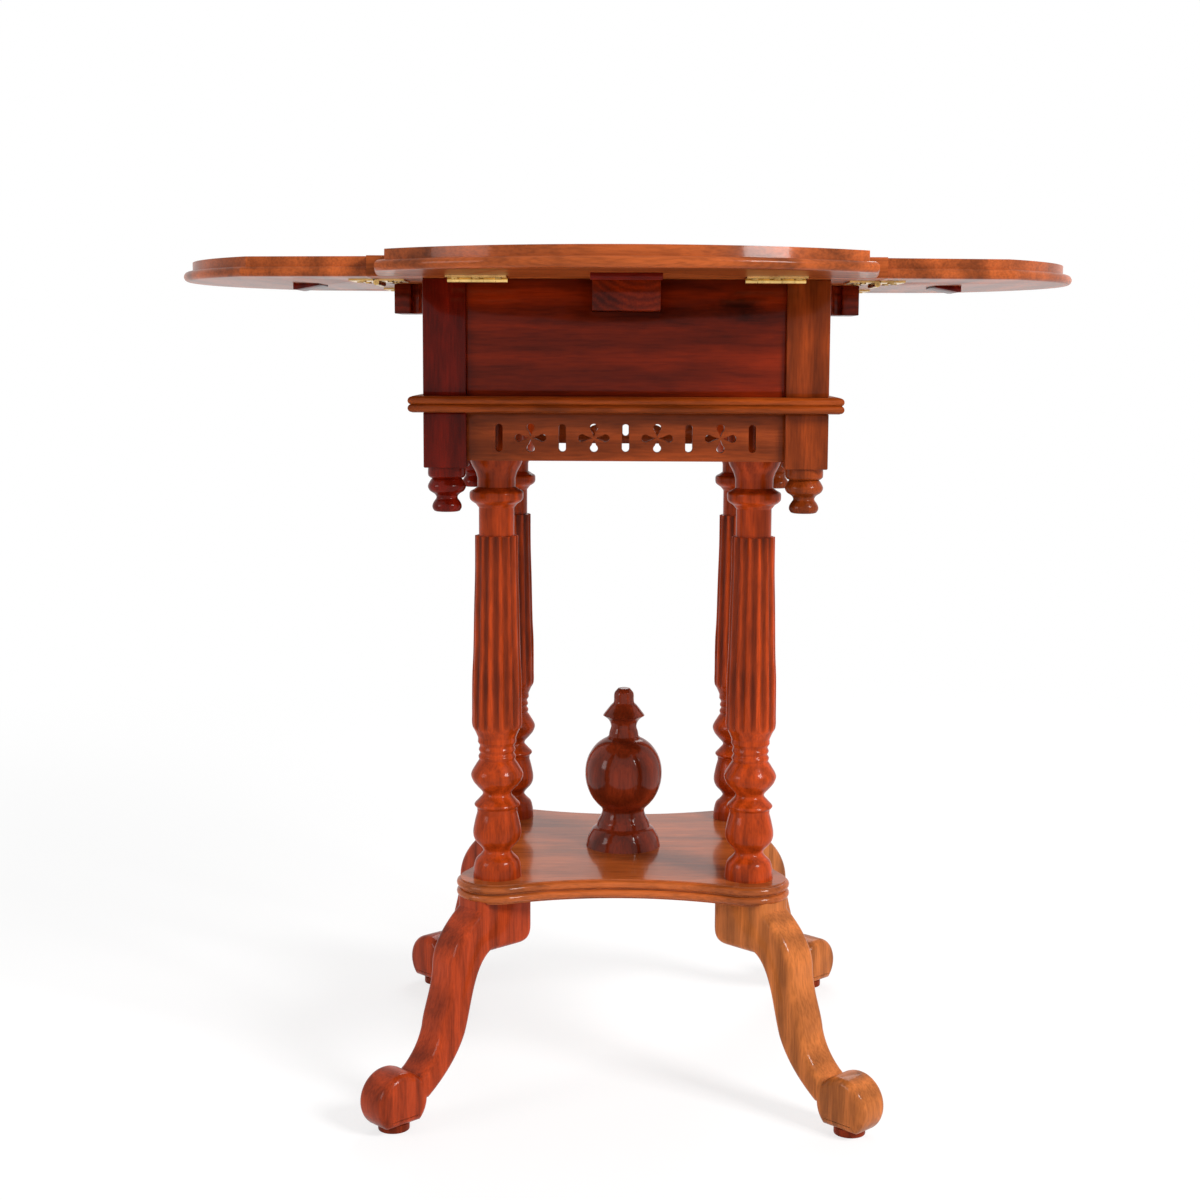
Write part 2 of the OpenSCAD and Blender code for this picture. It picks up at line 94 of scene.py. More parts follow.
class ChessTableColours(bpy.types.PropertyGroup):
    """Colours of the woods, the brass and the stage"""
    panel: bpy.props.FloatVectorProperty(name="Box panels", description="Orange-brown teak of the box",
        subtype="COLOR", size=3, default=(0.185, 0.014, 0.0012))
    leaf: bpy.props.FloatVectorProperty(name="Leaves", description="Teak of the top and the leaves",
        subtype="COLOR", size=3, default=(0.35, 0.074, 0.016))
    post: bpy.props.FloatVectorProperty(name="Posts", description="Dark red-brown of posts and corner blocks",
        subtype="COLOR", size=3, default=(0.145, 0.006, 0.001))
    post_light: bpy.props.FloatVectorProperty(name="Light posts", description="Lighter wood of the right posts",
        subtype="COLOR", size=3, default=(0.21, 0.033, 0.0045))
    fret: bpy.props.FloatVectorProperty(name="Fret boards", description="Tan-brown of the pierced boards",
        subtype="COLOR", size=3, default=(0.21, 0.036, 0.0065))
    column: bpy.props.FloatVectorProperty(name="Columns", description="Red-brown of the columns",
        subtype="COLOR", size=3, default=(0.32, 0.036, 0.004))
    platform: bpy.props.FloatVectorProperty(name="Platform", description="Orange-tan of the platform",
        subtype="COLOR", size=3, default=(0.37, 0.084, 0.017))
    finial: bpy.props.FloatVectorProperty(name="Finial", description="Dark brown of the finial",
        subtype="COLOR", size=3, default=(0.22, 0.027, 0.007))
    leg_dark: bpy.props.FloatVectorProperty(name="Darker legs", description="Orange-brown of the darker legs",
        subtype="COLOR", size=3, default=(0.36, 0.042, 0.0085))
    leg_light: bpy.props.FloatVectorProperty(name="Lighter legs", description="Honey of the lighter legs",
        subtype="COLOR", size=3, default=(0.45, 0.130, 0.030))
    waist: bpy.props.FloatVectorProperty(name="Waist board", description="Red-brown of the board under the box",
        subtype="COLOR", size=3, default=(0.24, 0.042, 0.005))
    light_squares: bpy.props.FloatVectorProperty(name="Light squares", description="Pale veneer of the chessboard",
        subtype="COLOR", size=3, default=(0.60, 0.37, 0.16))
    dark_squares: bpy.props.FloatVectorProperty(name="Dark squares", description="Dark veneer of the chessboard",
        subtype="COLOR", size=3, default=(0.085, 0.03, 0.014))
    brass: bpy.props.FloatVectorProperty(name="Brass", description="Colour of the hinges",
        subtype="COLOR", size=3, default=(0.78, 0.52, 0.19))
    stage: bpy.props.FloatVectorProperty(name="Stage", description="Colour of floor and backdrop",
        subtype="COLOR", size=3, default=(1.0, 1.0, 1.0))


def sizes():
    return bpy.context.scene.chess_table_sizes


def colours():
    return bpy.context.scene.chess_table_colours


# materials

def link(tree, a, b):
    tree.links.new(a, b)


def shade(colour, k):
    return tuple(min(1.0, c * k) for c in colour)


def teak(name, colour, grain, heart=(0.0, 0.0, 0.0), ring=26.0, streak=1.0, knot=None, coat=0.18, rough=0.3,
        shade_grooves=False):
    """Lacquered teak, cut from a log whose rings run round a line along the grain through heart."""
    mat = bpy.data.materials.new(name)
    mat.use_nodes = True
    tree = mat.node_tree
    tree.nodes.clear()
    out = tree.nodes.new("ShaderNodeOutputMaterial")
    skin = tree.nodes.new("ShaderNodeBsdfPrincipled")
    skin.inputs["Roughness"].default_value = rough
    skin.inputs["Coat Weight"].default_value = coat
    skin.inputs["Coat Roughness"].default_value = 0.09
    skin.inputs["Coat IOR"].default_value = 1.5
    skin.inputs["Specular IOR Level"].default_value = 0.03
    coord = tree.nodes.new("ShaderNodeTexCoord")
    place = tree.nodes.new("ShaderNodeMapping")
    place.inputs["Location"].default_value = tuple(-h for h in heart)
    link(tree, coord.outputs["Object"], place.inputs["Vector"])
    stretch = {"X": (1.4, 16.0, 16.0), "Y": (16.0, 1.4, 16.0), "Z": (16.0, 16.0, 1.4)}[grain]
    long = tree.nodes.new("ShaderNodeMapping")
    long.inputs["Scale"].default_value = stretch
    link(tree, place.outputs["Vector"], long.inputs["Vector"])

    figure = tree.nodes.new("ShaderNodeTexNoise")
    figure.inputs["Scale"].default_value = 2.6
    figure.inputs["Detail"].default_value = 7.0
    figure.inputs["Roughness"].default_value = 0.62
    figure.inputs["Distortion"].default_value = 0.5
    link(tree, long.outputs["Vector"], figure.inputs["Vector"])

    rings = tree.nodes.new("ShaderNodeTexWave")
    rings.wave_type = "RINGS"
    rings.rings_direction = grain
    rings.wave_profile = "SIN"
    rings.inputs["Scale"].default_value = ring
    rings.inputs["Distortion"].default_value = 3.0
    rings.inputs["Detail"].default_value = 3.0
    rings.inputs["Detail Scale"].default_value = 1.2
    link(tree, place.outputs["Vector"], rings.inputs["Vector"])

    fine = tree.nodes.new("ShaderNodeMapping")
    fine.inputs["Scale"].default_value = tuple(10.0 * s for s in stretch)
    link(tree, place.outputs["Vector"], fine.inputs["Vector"])
    pores = tree.nodes.new("ShaderNodeTexNoise")
    pores.inputs["Scale"].default_value = 3.4
    pores.inputs["Detail"].default_value = 4.0
    link(tree, fine.outputs["Vector"], pores.inputs["Vector"])

    tones = tree.nodes.new("ShaderNodeValToRGB")
    ramp = tones.color_ramp
    ramp.elements[0].position = 0.28
    ramp.elements[0].color = (*shade(colour, 0.42), 1)
    ramp.elements[1].position = 0.74
    ramp.elements[1].color = (*shade(colour, 1.32), 1)
    middle = ramp.elements.new(0.47)
    middle.color = (*shade(colour, 0.92), 1)
    link(tree, figure.outputs["Fac"], tones.inputs["Fac"])

    ring_tone = tree.nodes.new("ShaderNodeMapRange")
    ring_tone.inputs["To Min"].default_value = 1.08
    ring_tone.inputs["To Max"].default_value = 1.0 - 0.30 * streak
    link(tree, rings.outputs["Fac"], ring_tone.inputs["Value"])
    pore_tone = tree.nodes.new("ShaderNodeMapRange")
    pore_tone.inputs["From Min"].default_value = 0.36
    pore_tone.inputs["From Max"].default_value = 0.58
    pore_tone.inputs["To Min"].default_value = 0.78
    pore_tone.inputs["To Max"].default_value = 1.05
    link(tree, pores.outputs["Fac"], pore_tone.inputs["Value"])
    both = tree.nodes.new("ShaderNodeMath")
    both.operation = "MULTIPLY"
    link(tree, ring_tone.outputs["Result"], both.inputs[0])
    link(tree, pore_tone.outputs["Result"], both.inputs[1])
    last = both.outputs["Value"]

    if knot is not None:
        spot = tree.nodes.new("ShaderNodeMapping")
        spot.inputs["Location"].default_value = (-knot[0] * 32.0, -knot[1] * 32.0, -knot[2] * 58.0)
        spot.inputs["Scale"].default_value = (32.0, 32.0, 58.0)
        link(tree, coord.outputs["Object"], spot.inputs["Vector"])
        wobble = tree.nodes.new("ShaderNodeTexNoise")
        wobble.inputs["Scale"].default_value = 2.0
        link(tree, spot.outputs["Vector"], wobble.inputs["Vector"])
        reach = tree.nodes.new("ShaderNodeVectorMath")
        reach.operation = "LENGTH"
        link(tree, spot.outputs["Vector"], reach.inputs[0])
        uneven = tree.nodes.new("ShaderNodeMath")
        uneven.operation = "ADD"
        link(tree, reach.outputs["Value"], uneven.inputs[0])
        link(tree, wobble.outputs["Fac"], uneven.inputs[1])
        dark = tree.nodes.new("ShaderNodeMapRange")
        dark.interpolation_type = "SMOOTHSTEP"
        dark.inputs["From Min"].default_value = 0.55
        dark.inputs["From Max"].default_value = 1.45
        dark.inputs["To Min"].default_value = 0.22
        dark.inputs["To Max"].default_value = 1.0
        link(tree, uneven.outputs["Value"], dark.inputs["Value"])
        join = tree.nodes.new("ShaderNodeMath")
        join.operation = "MULTIPLY"
        link(tree, last, join.inputs[0])
        link(tree, dark.outputs["Result"], join.inputs[1])
        last = join.outputs["Value"]

    # painted shade: the flutes are darkened by the depth of their grooves, from a little lighter on the shaft to
    # about a third in the deepest, standing in for the shade that falls in them
    if shade_grooves:
        depth = tree.nodes.new("ShaderNodeAttribute")
        depth.attribute_name = "groove"
        groove_shade = tree.nodes.new("ShaderNodeMapRange")
        groove_shade.inputs["To Min"].default_value = 1.06
        groove_shade.inputs["To Max"].default_value = 0.34
        link(tree, depth.outputs["Fac"], groove_shade.inputs["Value"])
        deep = tree.nodes.new("ShaderNodeMath")
        deep.operation = "MULTIPLY"
        link(tree, last, deep.inputs[0])
        link(tree, groove_shade.outputs["Result"], deep.inputs[1])
        last = deep.outputs["Value"]

    tint = tree.nodes.new("ShaderNodeVectorMath")
    tint.operation = "SCALE"
    link(tree, tones.outputs["Color"], tint.inputs[0])
    link(tree, last, tint.inputs["Scale"])
    link(tree, tint.outputs["Vector"], skin.inputs["Base Color"])

    relief = tree.nodes.new("ShaderNodeBump")
    relief.inputs["Strength"].default_value = 0.10
    relief.inputs["Distance"].default_value = 0.0006
    link(tree, pores.outputs["Fac"], relief.inputs["Height"])
    link(tree, relief.outputs["Normal"], skin.inputs["Normal"])
    link(tree, skin.outputs["BSDF"], out.inputs["Surface"])
    return mat


def brass(name, colour, rough):
    """Brass that has dulled a little, in fine uneven patches."""
    mat = bpy.data.materials.new(name)
    mat.use_nodes = True
    tree = mat.node_tree
    skin = tree.nodes["Principled BSDF"]
    skin.inputs["Metallic"].default_value = 1.0
    coord = tree.nodes.new("ShaderNodeTexCoord")
    patches = tree.nodes.new("ShaderNodeTexNoise")
    patches.inputs["Scale"].default_value = 90.0
    patches.inputs["Detail"].default_value = 5.0
    link(tree, coord.outputs["Object"], patches.inputs["Vector"])
    tones = tree.nodes.new("ShaderNodeValToRGB")
    tones.color_ramp.elements[0].position = 0.3
    tones.color_ramp.elements[0].color = (*shade(colour, 0.62), 1)
    tones.color_ramp.elements[1].position = 0.62
    tones.color_ramp.elements[1].color = (*shade(colour, 1.1), 1)
    link(tree, patches.outputs["Fac"], tones.inputs["Fac"])
    link(tree, tones.outputs["Color"], skin.inputs["Base Color"])
    dull = tree.nodes.new("ShaderNodeMapRange")
    dull.inputs["To Min"].default_value = rough + 0.12
    dull.inputs["To Max"].default_value = rough
    link(tree, patches.outputs["Fac"], dull.inputs["Value"])
    link(tree, dull.outputs["Result"], skin.inputs["Roughness"])
    return mat


# pieces

def paint(node, mat):
    """Gives a CAD node its finish."""
    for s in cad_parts[node].material_slots:
        s.material = mat


def dressed(node, body, mat, rounding=0.0, corner=38.0, smooth=32.0):
    """A copy of a CAD node with its doubles merged, its sharp edges rounded and its curves shaded smooth."""
    mesh = bpy.data.meshes.new("made_" + node)
    bm = bmesh.new()
    bm.from_mesh(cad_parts[node].data)
    bmesh.ops.remove_doubles(bm, verts=bm.verts[:], dist=2e-6)
    bmesh.ops.dissolve_limit(bm, angle_limit=math.radians(0.4), verts=bm.verts[:], edges=bm.edges[:])
    if rounding > 0:
        sharp = [e for e in bm.edges if len(e.link_faces) == 2
                 and e.calc_face_angle(0.0) > math.radians(corner)]
        bmesh.ops.bevel(bm, geom=sharp, offset=rounding, offset_type="OFFSET", segments=2, profile=0.5,
            affect="EDGES", clamp_overlap=True, material=-1)
    bmesh.ops.recalc_face_normals(bm, faces=bm.faces[:])
    for f in bm.faces:
        f.smooth = True
    bm.to_mesh(mesh)
    bm.free()
    for extra in [a.name for a in mesh.attributes if a.name == "custom_normal"]:
        mesh.attributes.remove(mesh.attributes[extra])
    mesh.set_sharp_from_angle(angle=math.radians(smooth))
    mesh.materials.clear()
    mesh.materials.append(mat)
    piece = bpy.data.objects.new("made_" + node, mesh)
    bpy.context.scene.collection.objects.link(piece)
    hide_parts(node)
    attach(piece, body)
    return piece


# keys of the turned pieces: height and radius in millimetres; a third value of 0 keeps the next span straight
PENDANT = [(0, 9.6, 0), (0.7, 11.3), (3.2, 12.7), (6, 12.6), (8.7, 11.3), (12, 9.2), (15, 10.5), (18, 14.8),
    (22, 16.6), (26.3, 14.8), (29, 12.9, 0), (29.6, 14.6), (31.6, 16.3), (39, 16.3)]
FINIAL = [(0, 36.1, 0), (8.5, 34.2), (17, 29.5), (19.5, 25.7, 0), (24.4, 24.7), (30.5, 21.4), (36.5, 20.6),
    (42, 25.6), (48, 30.4), (56, 34.3), (64, 36.5), (72, 37.1), (80, 36.4), (88, 34), (95, 30), (100, 25.8),
    (104, 20.5), (105.9, 16.8, 0), (108, 14.4), (112, 13.8), (118, 12.3), (124.2, 14.9), (128.3, 20, 0),
    (130.6, 18.4), (138, 12.6), (141, 9.9), (150, 9.2), (154.6, 5.7, 0), (155.4, 2)]
COLUMN = [(0, 22, 0), (9, 21.5), (16, 19.4), (20.5, 15), (24, 12.8), (27.4, 14.4), (34, 20.1), (41, 22), (51, 20.5),
    (60.4, 18.1, 0), (64, 18.3), (67.3, 20.7), (71.8, 17), (77.5, 12.9), (84.5, 18.3), (89.2, 21.9), (95.7, 23.6),
    (105, 18.7, 0), (108.7, 16.1), (112, 16.9), (115, 15.4), (118, 16.6), (121.5, 15.6), (125, 17.4, 0),
    (129, 17.2), (134.6, 19.6), (140, 22.3), (151, 22.5), (184, 22.3), (206, 21.3), (250, 20.3), (282, 19.4),
    (313, 19.3, 0), (313.5, 15.8, 0), (338, 15.8), (341.5, 18.6, 0), (343.5, 21.8), (345.5, 23.6), (349, 24.1),
    (352.5, 23.4), (354.5, 20, 0), (356.7, 16.9, 0), (364.4, 16.9), (370, 18.6), (377, 22.2), (383, 23.7),
    (424.3, 23.7)]
FLUTES = 14
FLUTE_R = 4.4
FLUTE_DEPTH = 2.2
# the shaft at the foot and the head of its flutes, as height and radius, and the span in which the cutters work
SHAFT_FOOT = (184, 22.3)
SHAFT_HEAD = (313, 19.3)
FLUTE_SPAN = (127, 313.2)


def curve_through(keys, n):
    """Points (r, z) in millimetres on the smooth outline of a turned piece."""
    points = []
    for i in range(len(keys) - 1):
        b, c = keys[i], keys[i + 1]
        straight = len(b) > 2
        a = keys[i - 1] if i > 0 and len(keys[i - 1]) < 3 else b
        d = keys[i + 2] if i < len(keys) - 2 and len(keys[i + 1]) < 3 else c
        high = c[0] - b[0]
        start = high * (c[1] - a[1]) / (c[0] - a[0])
        end = high * (d[1] - b[1]) / (d[0] - b[0])
        for j in range(n):
            t = j / n
            if straight:
                r = b[1] + (c[1] - b[1]) * t
            else:
                r = ((2 * t ** 3 - 3 * t * t + 1) * b[1] + (t ** 3 - 2 * t * t + t) * start
                    + (3 * t * t - 2 * t ** 3) * c[1] + (t ** 3 - t * t) * end)
            points.append((r, b[0] + high * t))
    points.append((keys[-1][1], keys[-1][0]))
    return points


def spun(keys, n, steps):
    """A closed turned shape about Z, in metres, with its foot at z = 0."""
    bm = bmesh.new()
    outline = curve_through(keys, n)
    outline = [(0.0, outline[0][1])] + outline + [(0.0, outline[-1][1])]
    verts = [bm.verts.new((r / 1000, 0, z / 1000)) for r, z in outline]
    edges = [bm.edges.new(pair) for pair in zip(verts, verts[1:])]
    bmesh.ops.spin(bm, geom=verts + edges, cent=(0, 0, 0), axis=(0, 0, 1), dvec=(0, 0, 0),
        angle=2 * math.pi, steps=steps, use_merge=True, use_duplicate=False)
    bmesh.ops.remove_doubles(bm, verts=bm.verts[:], dist=1e-6)
    bmesh.ops.recalc_face_normals(bm, faces=bm.faces[:])
    return bm


def flute(bm):
    """Draws the shaft in where the leaning round cutters of its flutes pass, and notes how deep each point lies,
    which sets the shade painted into the grooves.
    """
    groove = bm.verts.layers.float.new("groove")
    lean = (SHAFT_FOOT[1] - SHAFT_HEAD[1]) / (SHAFT_HEAD[0] - SHAFT_FOOT[0])
    pitch = 2 * math.pi / FLUTES
    for v in bm.verts:
        z = v.co.z * 1000
        r = math.hypot(v.co.x, v.co.y) * 1000
        if not FLUTE_SPAN[0] < z < FLUTE_SPAN[1] or r < 1:
            continue
        c = SHAFT_FOOT[1] + FLUTE_R - FLUTE_DEPTH - lean * (z - SHAFT_FOOT[0])
        turn = math.atan2(v.co.y, v.co.x) / pitch - 0.5
        off = (turn - round(turn)) * pitch
        reach = FLUTE_R ** 2 - (c * math.sin(off)) ** 2
        if reach <= 0:
            continue
        cut = c * math.cos(off) - math.sqrt(reach)
        if cut < r:
            v[groove] = min(1.0, (r - cut) / FLUTE_DEPTH)
            v.co.x *= cut / r
            v.co.y *= cut / r


def looked_at(tree):
    """A socket that is 1 for a ray from the camera, off a mirror or through glass, and 0 for any other."""
    path = tree.nodes.new("ShaderNodeLightPath")
    mirror = tree.nodes.new("ShaderNodeMath")
    mirror.operation = "MAXIMUM"
    link(tree, path.outputs["Is Glossy Ray"], mirror.inputs[0])
    link(tree, path.outputs["Is Transmission Ray"], mirror.inputs[1])
    either = tree.nodes.new("ShaderNodeMath")
    either.operation = "MAXIMUM"
    link(tree, path.outputs["Is Camera Ray"], either.inputs[0])
    link(tree, mirror.outputs["Value"], either.inputs[1])
    return either.outputs["Value"]


def finished(bm, node, body, mat, smooth=34.0):
    """Makes the mesh an object at the origin that stands for the CAD node."""
    mesh = bpy.data.meshes.new("made_" + node)
    for f in bm.faces:
        f.smooth = True
    bm.to_mesh(mesh)
    bm.free()
    mesh.set_sharp_from_angle(angle=math.radians(smooth))
    mesh.materials.append(mat)
    piece = bpy.data.objects.new("made_" + node, mesh)
    bpy.context.scene.collection.objects.link(piece)
    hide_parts(node)
    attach(piece, body)
    return piece


def bezier(p0, p1, p2, p3, n):
    """Points of a cubic curve, without its last."""
    points = []
    for i in range(n):
        t = i / n
        u = 1 - t
        points.append(tuple(u ** 3 * a + 3 * u * u * t * b + 3 * u * t * t * c + t ** 3 * d
            for a, b, c, d in zip(p0, p1, p2, p3)))
    return points


def leg_outline():
    """The leg's outline as (distance along the diagonal, height) in millimetres, round its scrolled foot."""
    foot, radius, flat = (285.0, 27.0), 26.7, 7.0
    outer = (bezier((197, 183), (216, 168), (229, 152), (229, 133), 14)
        + bezier((229, 133), (230, 112), (240, 96), (242, 80), 12)
        + bezier((242, 80), (246, 66), (253, 57), (262, 49), 12)
        + bezier((262, 49), (268, 45), (273, 41), (278, 38), 8))
    inner = (bezier((278, 12), (252, 26), (226, 46), (214, 74), 30)
        + bezier((214, 74), (206, 96), (203, 132), (184, 143), 16))
    away = lambda p: math.hypot(p[0] - foot[0], p[1] - foot[1]) > radius + 0.3
    outer = [p for p in outer if away(p)]
    inner = [p for p in inner if away(p)]
    start = math.atan2(outer[-1][1] - foot[1], outer[-1][0] - foot[0])
    low = math.asin((foot[1] - flat) / radius)
    end = math.atan2(inner[0][1] - foot[1], inner[0][0] - foot[0]) % (2 * math.pi) - 2 * math.pi
    ball = []
    for a, b, n in ((start, -low, 34), (-math.pi + low, end, 8)):
        ball += [(foot[0] + radius * math.cos(a + (b - a) * i / n), foot[1] + radius * math.sin(a + (b - a) * i / n))
            for i in range(n + 1)]
    corner = bezier((149, 143), (139, 143), (134, 148), (134, 158), 8)
    return [(134, 196), (197, 196)] + outer + ball + inner + [(184, 143)] + corner + [(134, 158)]


def leg_shape(turn, half, rounding):
    """A leg across the diagonal at that turn, its edges rounded by insets of its two faces."""
    bm = bmesh.new()
    verts = [bm.verts.new((r / 1000, -(half - rounding), z / 1000)) for r, z in leg_outline()]
    face = bm.faces.new(verts)
    grown = bmesh.ops.extrude_face_region(bm, geom=[face])
    moved = [g for g in grown["geom"] if isinstance(g, bmesh.types.BMVert)]
    bmesh.ops.translate(bm, verts=moved, vec=(0, 2 * (half - rounding), 0))
    bmesh.ops.recalc_face_normals(bm, faces=bm.faces[:])
    caps = [f for f in bm.faces if abs(f.normal.y) > 0.9]
    steps = 5
    for i in range(steps):
        a, b = math.pi / 2 * i / steps, math.pi / 2 * (i + 1) / steps
        bmesh.ops.inset_region(bm, faces=caps, use_even_offset=True, use_boundary=True,
            thickness=rounding * (math.cos(a) - math.cos(b)), depth=rounding * (math.sin(b) - math.sin(a)))
    bmesh.ops.rotate(bm, verts=bm.verts[:], cent=(0, 0, 0), matrix=Matrix.Rotation(turn, 3, "Z"))
    return bm


class MakeTop(bpy.types.Operator):
    """Finish the centre panel, the chessboard and the four leaves"""
    bl_idname = "chess_table.make_top"
    bl_label = "Top and leaves"

    def execute(self, context):
        c = colours()
        dressed("centre_panel", "table",
            teak("panel_teak", c.leaf, "X", heart=(0, 0.05, 0.55), ring=9.0, coat=TOP_COAT, rough=TOP_ROUGH),
            rounding=TOP_ROUND)
        for tone, colour, streak in (("light", c.light_squares, 0.4), ("dark", c.dark_squares, 0.5)):
            paint(tone + "_squares", teak(tone + "_veneer", colour, "X", heart=(0, 0, 0.6), ring=14.0,
                streak=streak, coat=TOP_COAT, rough=TOP_ROUGH))
        for side in SIDES:
            grain = SIDE_AXIS[side]
            shift = 0.07 * SIDES.index(side)
            wood = teak("leaf_teak_" + side, c.leaf, grain, heart=(shift, shift, 0.62), ring=8.0, streak=0.8)
            dressed("leaf_" + side, "leaf_" + side, wood, rounding=TOP_ROUND, corner=50.0)
            dressed("leaf_wedge_" + side, "leaf_" + side,
                teak("wedge_teak_" + side, c.post, grain, heart=(0, 0, 0.6)), rounding=0.0004)
        return {"FINISHED"}


class MakeHinges(bpy.types.Operator):
    """Finish the brass hinges, pins and screws"""
    bl_idname = "chess_table.make_hinges"
    bl_label = "Hinges"

    def execute(self, context):
        c = colours()
        plate = brass("hinge_brass", c.brass, 0.20)
        screw = brass("screw_brass", shade(c.brass, 0.85), 0.26)
        for node in ["hinge_plates_fixed"] + ["hinge_plates_" + s for s in SIDES]:
            paint(node, plate)
        for node in ["hinge_pins", "hinge_screws_fixed"] + ["hinge_screws_" + s for s in SIDES]:
            paint(node, screw)
        return {"FINISHED"}


class MakeBox(bpy.types.Operator):
    """Finish the posts, panels, guides and sliding supports of the box"""
    bl_idname = "chess_table.make_box"
    bl_label = "Box"

    def execute(self, context):
        c = colours()
        r = sizes().edge_round
        for side in SIDES:
            grain = SIDE_AXIS[side]
            n = SIDES.index(side)
            knot = (0.098, -0.170, 0.722) if side == "front" else None
            dressed("upper_panel_" + side, "table",
                teak("box_teak_" + side, c.panel, grain, heart=(0.03 * n, 0.02 * n, 0.20), ring=13.0, streak=1.3,
                    knot=knot), rounding=0.0006)
            along = {"X": "Y", "Y": "X"}[grain]
            dressed("loper_" + side, "loper_" + side,
                teak("loper_teak_" + side, c.panel, along, heart=(0.012 + 0.01 * n, 0.014, 0.772), ring=52.0,
                    streak=1.1), rounding=r)
            paint("loper_guide_" + side, teak("guide_teak_" + side, c.fret, along, heart=(0, 0, 0.9), coat=0.1,
                rough=0.5))
        for corner in CORNERS:
            x, y = CORNER_AT[corner]
            colour = c.post if x < 0 else c.post_light
            dressed("corner_post_" + corner, "table",
                teak("post_teak_" + corner, colour, "Z", heart=(x * 0.22, y * 0.26, 0), ring=20.0), rounding=r)
        return {"FINISHED"}


class MakeFrieze(bpy.types.Operator):
    """Finish the waist board, the pierced boards and the corner drops"""
    bl_idname = "chess_table.make_frieze"
    bl_label = "Waist, frets and drops"

    def execute(self, context):
        c = colours()
        dressed("waist_board", "table",
            teak("waist_teak", c.waist, "X", heart=(0, 0.1, 0.4), ring=16.0), rounding=0.0006,
            corner=60.0)
        for side in SIDES:
            dressed("fret_board_" + side, "table",
                teak("fret_teak_" + side, c.fret, SIDE_AXIS[side], heart=(0, 0, 0.35), ring=15.0),
                rounding=sizes().fret_round, corner=60.0)
        for corner in CORNERS:
            x, y = CORNER_AT[corner]
            colour = shade(c.post, 0.9) if x < 0 else c.post_light
            bm = spun(PENDANT, 5, 56)
            bmesh.ops.translate(bm, verts=bm.verts[:], vec=(x * DROP_AT, y * DROP_AT, DROP_FOOT))
            block = bmesh.ops.create_cube(bm, size=1.0)["verts"]
            bmesh.ops.scale(bm, verts=block, vec=DROP_BLOCK)
            bmesh.ops.translate(bm, verts=block, vec=(x * DROP_AT, y * DROP_AT, DROP_BLOCK_MIDDLE))
            sharp = list({e for v in block for e in v.link_edges})
            bmesh.ops.bevel(bm, geom=sharp, offset=sizes().edge_round, offset_type="OFFSET", segments=3,
                profile=0.5, affect="EDGES", clamp_overlap=True, material=-1)
            finished(bm, "corner_drop_" + corner, "table",
                teak("drop_teak_" + corner, colour, "Z", heart=(x * 0.20, y * 0.24, 0), ring=24.0))
        return {"FINISHED"}


class MakeColumns(bpy.types.Operator):
    """Finish the four turned and fluted columns"""
    bl_idname = "chess_table.make_columns"
    bl_label = "Columns"

    def execute(self, context):
        c = colours()
        for corner in CORNERS:
            x, y = CORNER_AT[corner]
            tone = 1.0 if x < 0 else 1.12
            bm = spun(COLUMN, 5, FLUTES * 12)
            # the grooves' depth noted here becomes painted shade in the columns' material
            flute(bm)
            bmesh.ops.translate(bm, verts=bm.verts[:], vec=(x * COLUMN_AT, y * COLUMN_AT, PLATFORM_TOP))
            finished(bm, "column_" + corner, "table",
                teak("column_teak_" + corner, shade(c.column, tone), "Z", heart=(x * 0.13, y * 0.155, 0), ring=30.0,
                    streak=0.8, shade_grooves=True), smooth=28.0)
        return {"FINISHED"}


class MakePlatform(bpy.types.Operator):
    """Finish the platform and the finial on it"""
    bl_idname = "chess_table.make_platform"
    bl_label = "Platform and finial"

    def execute(self, context):
        c = colours()
        dressed("platform", "table",
            teak("platform_teak", c.platform, "X", heart=(0, 0.03, 0.05), ring=10.0, streak=0.7, coat=0.32,
                rough=0.2), smooth=34.0)
        bm = spun(FINIAL, 6, 96)
        bmesh.ops.translate(bm, verts=bm.verts[:], vec=(0, 0, PLATFORM_TOP))
        finished(bm, "finial", "table",
            teak("finial_teak", c.finial, "Z", heart=(0.01, 0.04, 0), ring=24.0, coat=0.32, rough=0.25), smooth=28.0)
        return {"FINISHED"}


class MakeLegs(bpy.types.Operator):
    """Finish the four scrolled legs and their pads"""
    bl_idname = "chess_table.make_legs"
    bl_label = "Legs and pads"

    def execute(self, context):
        c = colours()
        for corner in CORNERS:
            x, y = CORNER_AT[corner]
            colour = c.leg_dark if x < 0 else c.leg_light
            bm = leg_shape(math.atan2(y, x), LEG_HALF, sizes().leg_round)
            finished(bm, "leg_" + corner, "table",
                teak("leg_teak_" + corner, colour, "Z", heart=(x * 0.10, y * 0.10, 0), ring=18.0, streak=0.9))
        dressed("foot_pads", "table",
            teak("pad_teak", shade(c.leg_dark, 0.6), "Z", coat=0.1, rough=0.5), rounding=0.0008, corner=50.0)
        return {"FINISHED"}


